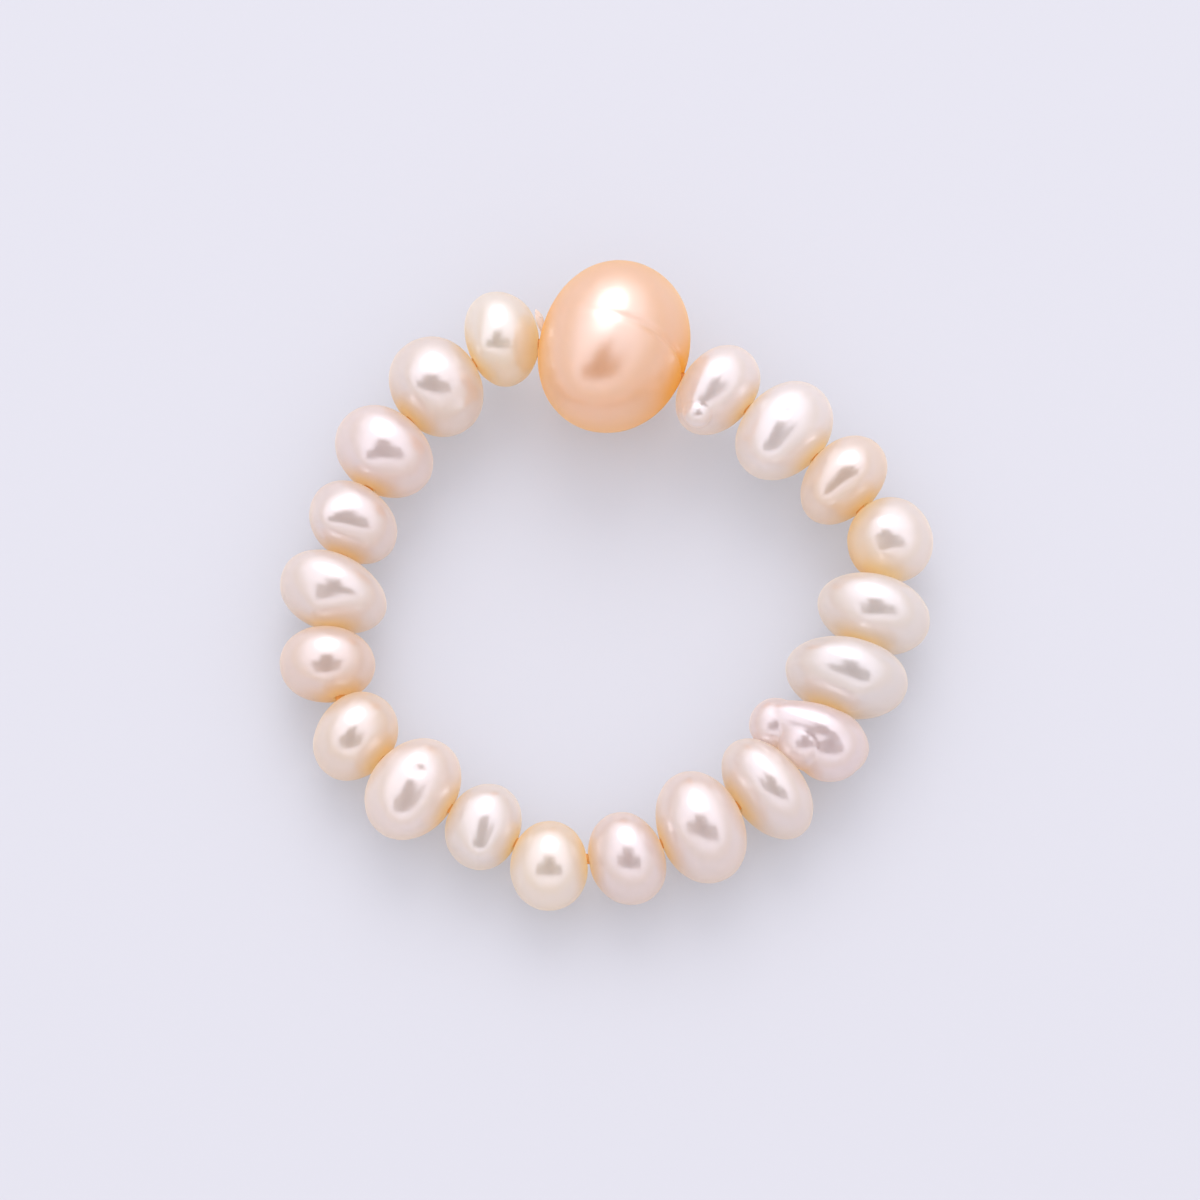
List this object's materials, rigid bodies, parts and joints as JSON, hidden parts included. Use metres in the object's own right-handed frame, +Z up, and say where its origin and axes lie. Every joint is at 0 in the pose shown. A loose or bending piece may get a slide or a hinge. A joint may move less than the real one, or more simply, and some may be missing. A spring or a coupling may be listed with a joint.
{
  "type": "pearl stretch ring",
  "caption": "Stretch ring of small cream and blush freshwater pearls and a large peach pearl, strung on clear elastic thread that is knotted beside the large pearl.",
  "frame": {"origin": "middle of the ring's footprint, on the plane it lies on", "axes": "+Z up, along the axis of the finger hole; +Y towards the large pearl"},
  "size_m": [0.0274, 0.028, 0.0073],
  "materials": {
    "peach_nacre": "pearl lustre, peach with a pink sheen",
    "ivory_nacre": "pearl lustre, ivory white with a faint pink sheen",
    "cream_nacre": "pearl lustre, warm cream, yellower near the drill holes",
    "blush_nacre": "pearl lustre, pale pink with a lilac sheen",
    "clear_elastic": "clear, smooth"
  },
  "bodies": {
    "root": {"big_pearl": "peach_nacre", "pearl_01": "ivory_nacre", "pearl_02": "ivory_nacre", "pearl_03": "cream_nacre", "pearl_04": "ivory_nacre", "pearl_05": "cream_nacre", "pearl_06": "blush_nacre", "pearl_07": "blush_nacre", "pearl_08": "cream_nacre", "pearl_09": "blush_nacre", "pearl_10": "blush_nacre", "pearl_11": "ivory_nacre", "pearl_12": "ivory_nacre", "pearl_13": "ivory_nacre", "pearl_14": "cream_nacre", "pearl_15": "blush_nacre", "pearl_16": "blush_nacre", "pearl_17": "cream_nacre", "pearl_18": "ivory_nacre", "pearl_19": "cream_nacre", "pearl_20": "cream_nacre", "elastic_thread": "clear_elastic"}
  },
  "joints": []
}
